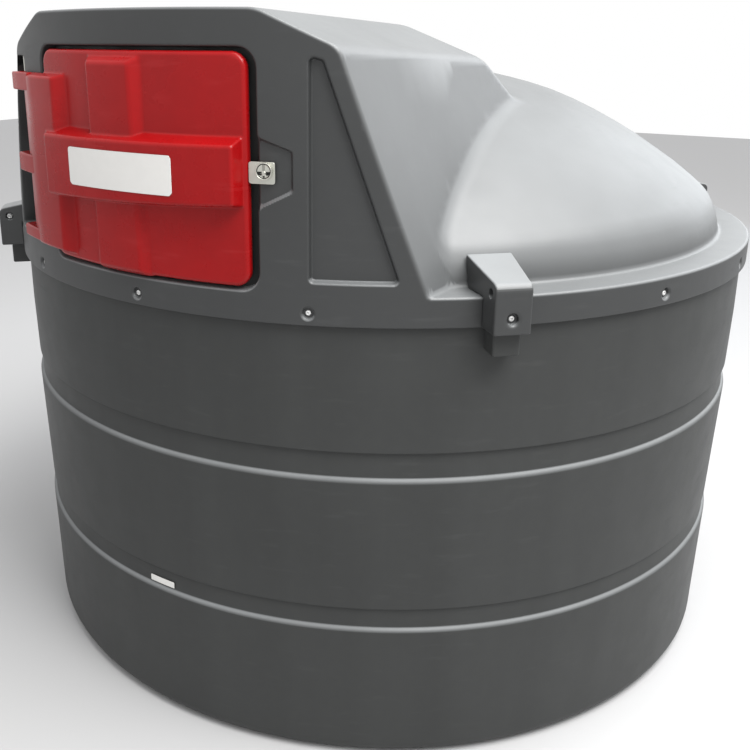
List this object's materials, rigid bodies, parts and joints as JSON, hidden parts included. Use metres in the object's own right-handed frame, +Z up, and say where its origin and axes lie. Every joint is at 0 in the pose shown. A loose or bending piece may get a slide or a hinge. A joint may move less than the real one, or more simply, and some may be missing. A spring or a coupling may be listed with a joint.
{
  "type": "vertical storage tank with dispensing cabinet",
  "caption": "Round upright plastic storage tank with banded walls, a domed lid and a front cabinet behind a hinged red door.",
  "frame": {"origin": "centre of the tank's flat base, at floor level", "axes": "+Z up along the tank's axis; the cabinet door faces -Y; +X to the right of someone facing the door from outside"},
  "size_m": [2.3, 2.3471, 1.8683],
  "materials": {
    "tank_shell": "satin moulded polyethylene, dark grey",
    "lid_shell": "satin moulded polyethylene, grey",
    "door_red": "satin red moulded polyethylene",
    "white_plate": "plain white plate, blank",
    "zinc_steel": "zinc plated steel",
    "black_rubber": "black rubber seal"
  },
  "bodies": {
    "tank": {"tank_floor": "tank_shell", "tank_wall_1": "tank_shell", "tank_wall_2": "tank_shell", "tank_wall_3": "tank_shell", "tank_wall_4": "tank_shell", "tank_wall_5": "tank_shell", "tank_wall_6": "tank_shell", "tank_wall_7": "tank_shell", "tank_wall_8": "tank_shell", "lid_rim_front": "lid_shell", "lid_rim_right": "lid_shell", "lid_rim_rear": "lid_shell", "lid_rim_left": "lid_shell", "dome_front_left": "lid_shell", "dome_front_right": "lid_shell", "dome_rear_left": "lid_shell", "dome_rear_right": "lid_shell", "fascia_left": "lid_shell", "fascia_right": "lid_shell", "fascia_top": "lid_shell", "cabinet_roof": "lid_shell", "cabinet_bevel_left": "lid_shell", "cabinet_bevel_right": "lid_shell", "cabinet_side_left": "lid_shell", "cabinet_side_right": "lid_shell", "cabinet_rear_slope": "lid_shell", "cabinet_back": "lid_shell", "cabinet_floor": "lid_shell", "lug_front_left": "lid_shell", "lug_front_right": "lid_shell", "lug_rear_left": "lid_shell", "lug_rear_right": "lid_shell", "hinge_rod": "zinc_steel", "door_seal": "black_rubber"},
    "door": {"door_panel": "door_red", "door_rib": "door_red", "door_handle": "door_red", "door_hinge_bar": "door_red", "name_plate": "white_plate", "lock_hasp": "zinc_steel"},
    "lock": {"lock_knob": "zinc_steel"}
  },
  "joints": [
    {"name": "door_hinge", "type": "hinge", "parent": "tank", "child": "door", "pos_m": [-0.45924, -1.04122, 1.5], "axis": [0, 0, -1], "range_deg": [0, 110]},
    {"name": "lock_turn", "type": "hinge", "parent": "door", "child": "lock", "pos_m": [0.35179, -1.09571, 1.53], "axis": [0.3057, -0.9521, 0], "range_deg": [0, 90]}
  ]
}
